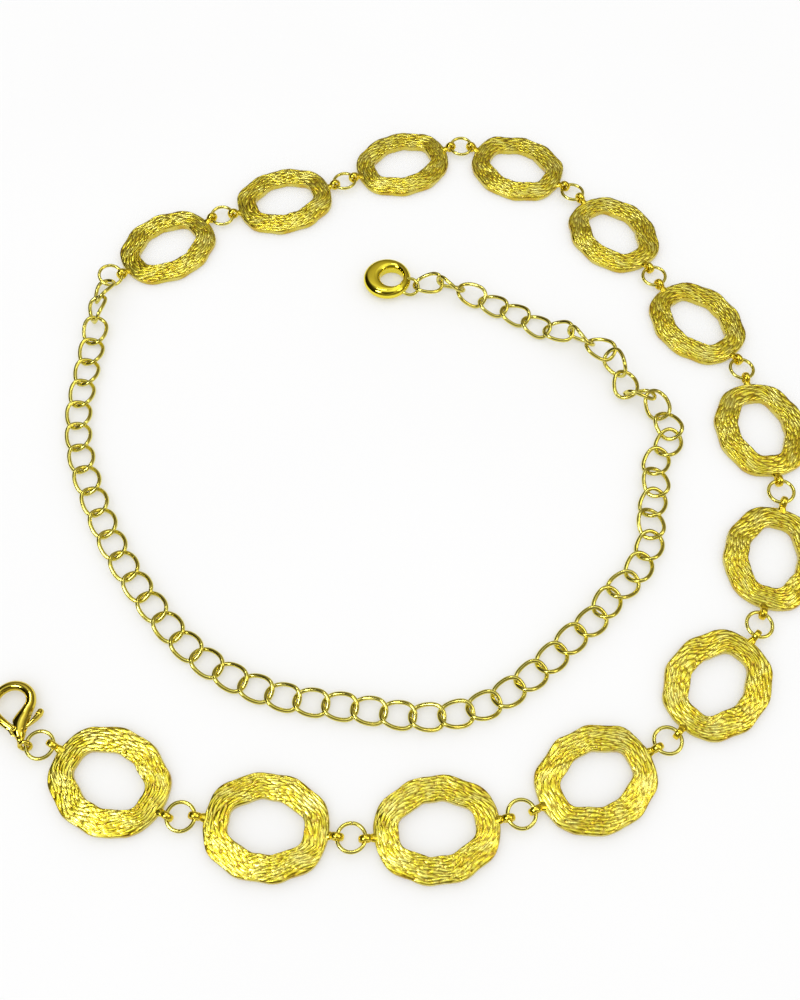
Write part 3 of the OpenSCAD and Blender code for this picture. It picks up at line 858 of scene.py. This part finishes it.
def body_field(xy, z, bore=True):
    f = smin(limb(BODY, xy, z), limb(NECK, xy, z), 0.5)
    f = smin(f, eye_field(xy, z), 0.25)
    away = np.linalg.norm(xy - PIVOT, axis=-1)
    flat = np.minimum(away - 2.2, np.minimum(outline(SLOTS[0], xy), outline(SLOTS[1], xy)))
    f = smax(f, -smax(flat, np.abs(z) - 0.80, 0.15), 0.24)
    f = smax(f, -outline(sector(9.1, 15, 75), xy), 0.12)
    return smax(f, -(away - 0.66), 0.04) if bore else f


clasp_body = skin_of("clasp_body_cast", body_field, (-4.0, -6.6, -2.9), (20.4, 8.0, 2.9), 0.12, CLASP)
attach(clasp_body, "chain")
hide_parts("clasp_body")

# lever: gate arm, flat tongue round the rivet, and a curved thumb tab
GATE = smooth_path([(5.9, 1.45, 0.90, 0.95, 2.0), (6.9, 2.50, 1.02, 1.0, 2.0), (8.0, 3.60, 1.14, 1.0, 2.0), (9.2, 4.65, 1.20, 1.0, 2.0),
                    (10.7, 5.65, 1.18, 1.0, 2.0), (12.1, 6.30, 1.12, 1.0, 2.0), (13.6, 6.6, 1.08, 1.0, 2.0)], 26)
TAB = smooth_path([(5.3, -0.9, 0.60, 0.95, 3.0), (5.85, -2.5, 0.52, 1.1, 3.0), (6.65, -4.1, 0.54, 1.8, 2.6), (7.7, -5.4, 0.76, 1.65, 2.4),
                   (8.6, -6.25, 0.96, 1.35, 2.2), (9.15, -6.6, 0.92, 1.2, 2.2)], 22)
TONGUE = [(5.2 + 1.9 * math.cos(a), 0.3 + 1.9 * math.sin(a)) for a in np.linspace(math.radians(100), math.radians(385), 24)] + \
    [(8.1, 2.9), (7.3, 4.0), (6.1, 3.2), (5.5, 2.6)]


def lever_field(xy, z):
    away = np.linalg.norm(xy - PIVOT, axis=-1)
    f = smax(limb(GATE, xy, z), away - 8.96, 0.15)
    f = smin(f, smax(outline(TONGUE, xy), np.abs(z) - 0.68, 0.12), 0.2)
    f = smin(f, limb(TAB, xy, z), 0.3)
    # where the body's plates come when the lever turns there is air
    for turn in (0, 8, 16, 25):
        m = rot(0, 0, -turn)[:2, :2]
        f = smax(f, 0.12 - body_field((xy - PIVOT) @ m.T + PIVOT, z, False), 0.08)
    return smax(f, -(away - 0.65), 0.04)


lever = skin_of("clasp_lever_cast", lever_field, (2.9, -8.0, -1.9), (14.6, 8.0, 1.9), 0.12, CLASP)
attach(lever, "lever")
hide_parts("clasp_lever")

# rivet with low domed heads
a = np.linspace(0, 2 * math.pi, 40, endpoint=False)
prof = [(0.0, -1.58), (0.30, -1.56), (0.48, -1.50), (0.58, -1.40), (0.58, 1.40), (0.48, 1.50), (0.30, 1.56), (0.0, 1.58)]
rows = [np.stack([PIVOT[0] + r * np.cos(a), PIVOT[1] + r * np.sin(a), np.full(40, z)], -1) for r, z in prof[1:-1]]
v = np.concatenate(rows + [np.array([[*PIVOT, prof[0][1]], [*PIVOT, prof[-1][1]]])])
q = ring_quads(6, 40, close_rows=False)
k = np.arange(40)
k2 = (k + 1) % 40
tr = np.r_[np.stack([k, k2, np.full(40, 240)], -1), np.stack([200 + k2, 200 + k, np.full(40, 241)], -1)]
rivet = build("clasp_rivet_pin", in_clasp(v), q, [CLASP], None, tr)
outward(rivet)
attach(rivet, "chain")
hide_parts("clasp_rivet")

# ---------------------------------------------------------------- floor and light
me = bpy.data.meshes.new("floor")
s = 6.0
me.from_pydata([(-s, -s, 0), (s, -s, 0), (s, s, 0), (-s, s, 0)], [], [(0, 1, 2, 3)])
me.materials.append(floor_white())
floor = bpy.data.objects.new("floor", me)
floor.location = (0, 0, -0.00008)
bpy.context.scene.collection.objects.link(floor)

world = bpy.data.worlds.new("studio")
bpy.context.scene.world = world
world.use_nodes = True
wt = world.node_tree
wt.nodes.clear()
w_out = wt.nodes.new("ShaderNodeOutputWorld")
bg = wt.nodes.new("ShaderNodeBackground")
geo = wt.nodes.new("ShaderNodeTexCoord")
sep = wt.nodes.new("ShaderNodeSeparateXYZ")
wt.links.new(geo.outputs["Generated"], sep.inputs[0])
sky = ramp(wt, sep.outputs["Z"], [(0.0, (0.42, 0.42, 0.42)), (0.06, (0.26, 0.236, 0.19)), (0.32, (0.19, 0.166, 0.11)), (0.52, (0.27, 0.238, 0.16)),
                                  (0.70, (0.42, 0.371, 0.24)), (0.77, (0.53, 0.476, 0.34)), (0.82, (0.69, 0.642, 0.51)),
                                  (0.87, (1.08, 1.08, 0.98)), (0.92, (1.22, 1.25, 1.20)), (1.0, (1.34, 1.38, 1.40))])
# whoever holds the camera stands dark against the ceiling
away = node(wt, "ShaderNodeVectorMath", operation="DOT_PRODUCT")
away.inputs[1].default_value = (0.02, -0.52, 0.854)
wt.links.new(geo.outputs["Generated"], away.inputs[0])
figure = ramp(wt, away.outputs["Value"], [(0.90, (1, 1, 1)), (0.955, (0.16, 0.15, 0.14))], "EASE")
soft = node(wt, "ShaderNodeTexNoise", Scale=3.2, Detail=3.0, Roughness=0.6)
wt.links.new(geo.outputs["Generated"], soft.inputs["Vector"])
patch = ramp(wt, soft.outputs["Fac"], [(0.38, (0.66, 0.65, 0.62)), (0.60, (1.14, 1.14, 1.14))])
m1 = node(wt, "ShaderNodeMix", data_type="RGBA", blend_type="MULTIPLY")
m1.inputs["Factor"].default_value = 1
wt.links.new(sky, m1.inputs[6])
wt.links.new(figure, m1.inputs[7])
side = node(wt, "ShaderNodeVectorMath", operation="DOT_PRODUCT")
side.inputs[1].default_value = (-0.88, 0.02, 0.47)
wt.links.new(geo.outputs["Generated"], side.inputs[0])
left = ramp(wt, side.outputs["Value"], [(0.58, (1, 1, 1)), (0.84, (0.07, 0.066, 0.06))], "EASE")
m0 = node(wt, "ShaderNodeMix", data_type="RGBA", blend_type="MULTIPLY")
m0.inputs["Factor"].default_value = 1
wt.links.new(m1.outputs[2], m0.inputs[6])
wt.links.new(left, m0.inputs[7])
near = node(wt, "ShaderNodeVectorMath", operation="DOT_PRODUCT")
near.inputs[1].default_value = (-0.20, 0.25, 0.947)
wt.links.new(geo.outputs["Generated"], near.inputs[0])
dim = ramp(wt, near.outputs["Value"], [(0.945, (1, 1, 1)), (0.988, (0.50, 0.49, 0.50))], "EASE")
m3 = node(wt, "ShaderNodeMix", data_type="RGBA", blend_type="MULTIPLY")
m3.inputs["Factor"].default_value = 1
wt.links.new(m0.outputs[2], m3.inputs[6])
wt.links.new(dim, m3.inputs[7])
m2 = node(wt, "ShaderNodeMix", data_type="RGBA", blend_type="MULTIPLY")
m2.inputs["Factor"].default_value = 1
wt.links.new(m3.outputs[2], m2.inputs[6])
wt.links.new(patch, m2.inputs[7])
seen = node(wt, "ShaderNodeLightPath")
pale = node(wt, "ShaderNodeMix", data_type="RGBA")
wt.links.new(seen.outputs["Is Camera Ray"], pale.inputs["Factor"])
wt.links.new(m2.outputs[2], pale.inputs[6])
pale.inputs[7].default_value = (0.96, 0.96, 0.96, 1)
even = node(wt, "ShaderNodeMix", data_type="RGBA")
wt.links.new(seen.outputs["Is Diffuse Ray"], even.inputs["Factor"])
wt.links.new(pale.outputs[2], even.inputs[6])
even.inputs[7].default_value = (1.10, 1.10, 1.10, 1)
wt.links.new(even.outputs[2], bg.inputs["Color"])
bg.inputs["Strength"].default_value = 1.0
wt.links.new(bg.outputs[0], w_out.inputs[0])


def area(name, loc, target, size_x, size_y, power, colour=(1, 1, 1)):
    d = bpy.data.lights.new(name, "AREA")
    d.shape = "RECTANGLE"
    d.size, d.size_y = size_x, size_y
    d.energy = power
    d.color = colour
    o = bpy.data.objects.new(name, d)
    o.location = loc
    o.rotation_euler = (Vector(target) - Vector(loc)).to_track_quat("-Z", "Y").to_euler()
    # the room's even light fills the floor; the lamps are there for the gloss
    o.visible_diffuse = False
    bpy.context.scene.collection.objects.link(o)
    return o


area("key", (-0.50, -0.35, 0.80), (0, 0, 0), 0.26, 0.26, 4.2)
area("strip", (-0.16, 0.36, 0.98), (0, 0, 0), 0.24, 0.08, 0.9)
area("fill", (0.70, -0.20, 0.75), (0, 0, 0), 0.30, 0.30, 1.5, (1.0, 0.90, 0.72))

scene = bpy.context.scene
scene.view_settings.view_transform = "Standard"
scene.view_settings.look = "None"
